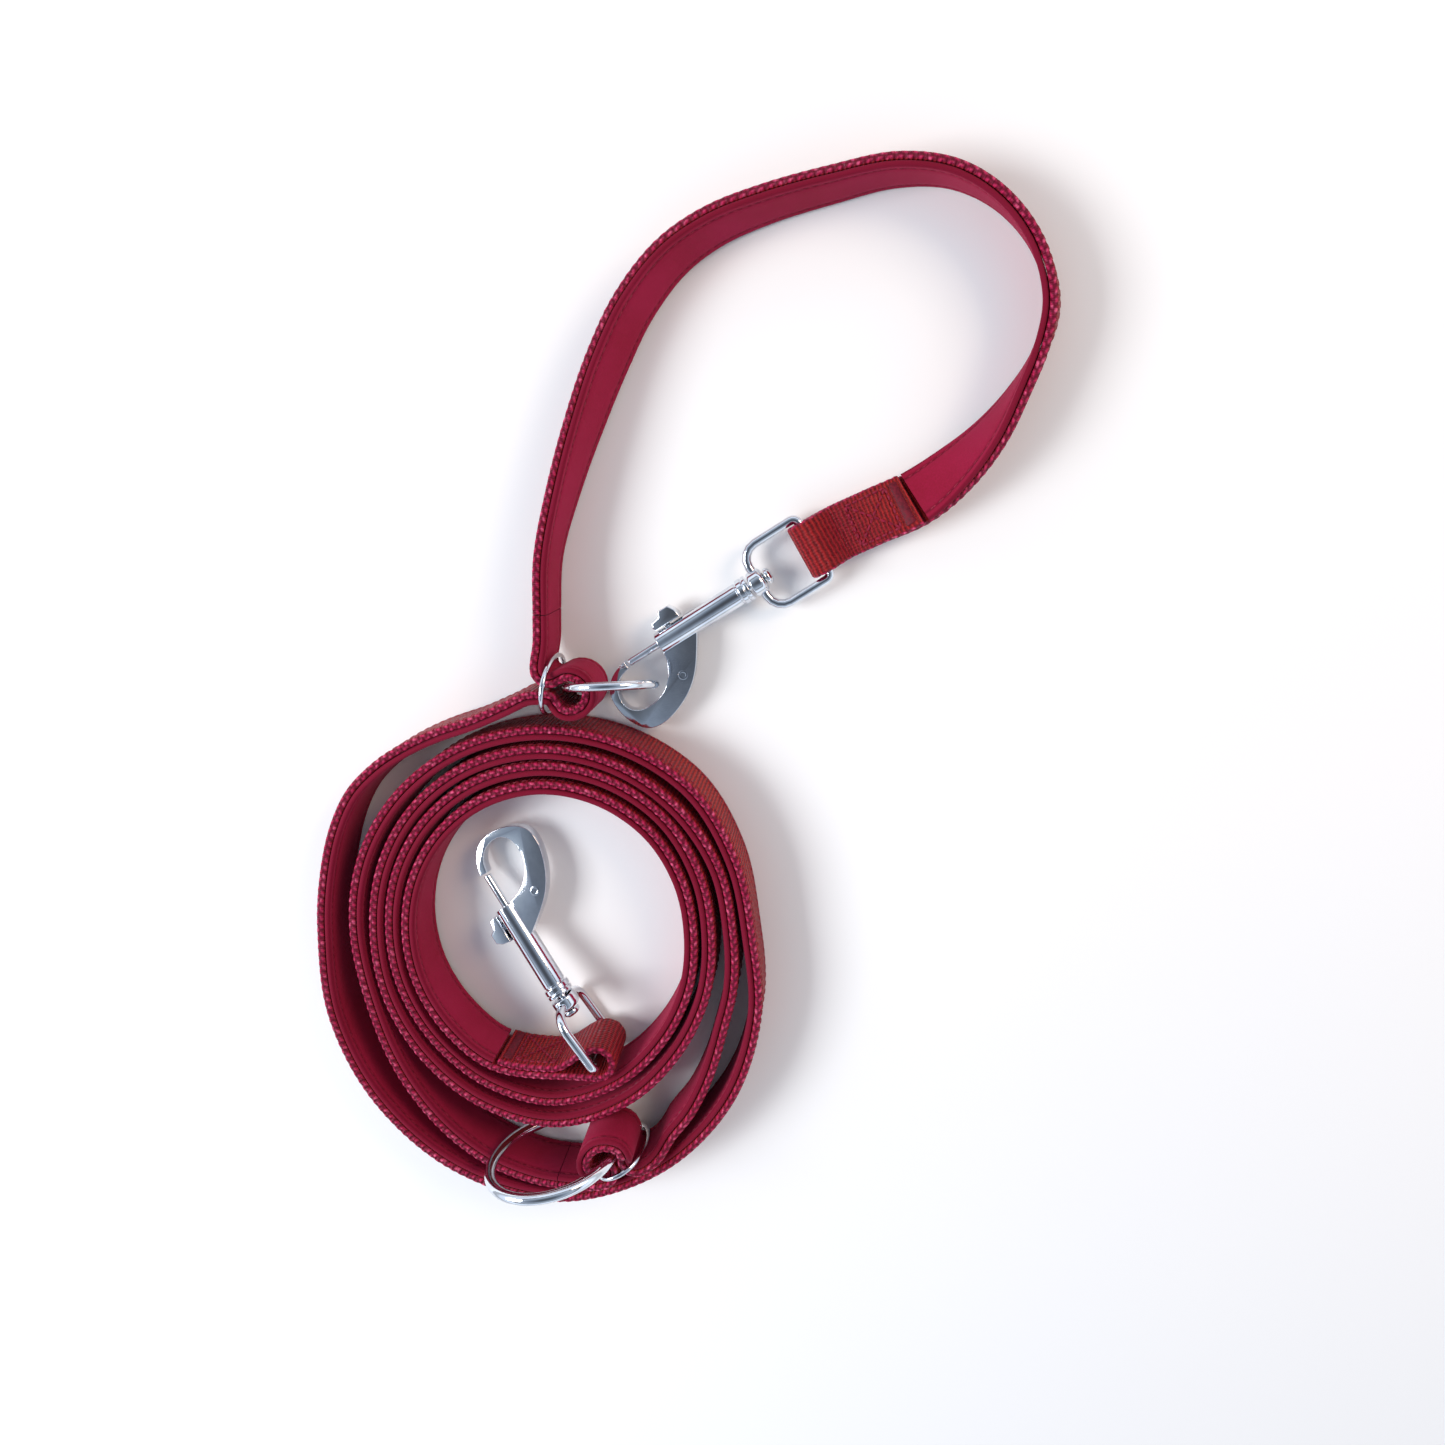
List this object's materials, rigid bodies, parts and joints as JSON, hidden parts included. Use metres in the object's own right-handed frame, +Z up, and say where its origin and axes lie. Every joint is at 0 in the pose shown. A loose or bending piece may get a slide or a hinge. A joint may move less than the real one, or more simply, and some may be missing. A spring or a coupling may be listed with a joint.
{
  "type": "training leash",
  "caption": "Lined webbing leash wound into a coil and a hand loop, a swivel snap hook at each end, with shortening rings in small bights along the strap.",
  "frame": {"origin": "middle of the base of the whole coiled leash", "axes": "+Z up from the surface it rests on, +Y from the coil towards the hand loop, +X to the right seen from above with the loop at the top"},
  "size_m": [0.2584, 0.3612, 0.0479],
  "materials": {
    "webbing": "ribbed flat webbing with a glossy selvedge",
    "lining": "soft matt lining with sewn edges",
    "thread": "dense bar tack stitching",
    "chrome": "polished cast and bent steel"
  },
  "bodies": {
    "strap": {"inner_coil_webbing": "webbing", "outer_coil_webbing": "webbing", "handle_webbing": "webbing", "inner_coil_lining": "lining", "outer_coil_lining": "lining", "handle_lining": "lining", "coil_end_bar_tack": "thread", "handle_end_bar_tack": "thread", "lower_small_ring": "chrome", "upper_small_ring": "chrome"},
    "lower_ring": {"lower_large_ring": "chrome"},
    "upper_ring": {"upper_large_ring": "chrome"},
    "handle_eyelet": {"handle_eye": "chrome"},
    "handle_snap": {"handle_snap_body": "chrome", "handle_swivel_rivet": "chrome"},
    "handle_latch": {"handle_bolt": "chrome", "handle_thumb_knob": "chrome", "handle_bolt_spring": "chrome"},
    "coil_eyelet": {"coil_eye": "chrome"},
    "coil_snap": {"coil_snap_body": "chrome", "coil_swivel_rivet": "chrome"},
    "coil_latch": {"coil_bolt": "chrome", "coil_thumb_knob": "chrome", "coil_bolt_spring": "chrome"}
  },
  "joints": [
    {"name": "lower_ring_spin", "type": "hinge", "parent": "strap", "child": "lower_ring", "pos_m": [-0.04464, -0.15764, 0.02408], "axis": [0.1217, -0.9912, 0.0523], "continuous": true},
    {"name": "upper_ring_spin", "type": "hinge", "parent": "strap", "child": "upper_ring", "pos_m": [-0.02075, 0.01123, 0.01628], "axis": [0.0512, -0.9768, 0.2079], "continuous": true},
    {"name": "handle_eye_hinge", "type": "hinge", "parent": "strap", "child": "handle_eyelet", "pos_m": [0.04806, 0.05764, 0.00656], "axis": [-0.5299, 0.848, 0], "range_deg": [0, 3]},
    {"name": "handle_swivel", "type": "hinge", "parent": "handle_eyelet", "child": "handle_snap", "pos_m": [0.02898, 0.04572, 0.00656], "axis": [-0.848, -0.5299, 0], "range_deg": [0, 8]},
    {"name": "handle_bolt_slide", "type": "slide", "parent": "handle_snap", "child": "handle_latch", "axis": [0.848, 0.5299, 0], "range_m": [0, 0.009], "stiffness_N_per_m": 160, "springref_m": -0.012, "deforming": ["handle_bolt_spring"]},
    {"name": "coil_eye_hinge", "type": "hinge", "parent": "strap", "child": "coil_eyelet", "pos_m": [-0.02884, -0.12406, 0.01346], "axis": [0, 0, 1], "range_deg": [-10, 7]},
    {"name": "coil_swivel", "type": "hinge", "parent": "coil_eyelet", "child": "coil_snap", "pos_m": [-0.04142, -0.1054, 0.01346], "axis": [-0.5538, 0.821, -0.1392], "range_deg": [0, 120]},
    {"name": "coil_bolt_slide", "type": "slide", "parent": "coil_snap", "child": "coil_latch", "axis": [0.5538, -0.821, 0.1392], "range_m": [0, 0.009], "stiffness_N_per_m": 160, "springref_m": -0.012, "deforming": ["coil_bolt_spring"]}
  ]
}
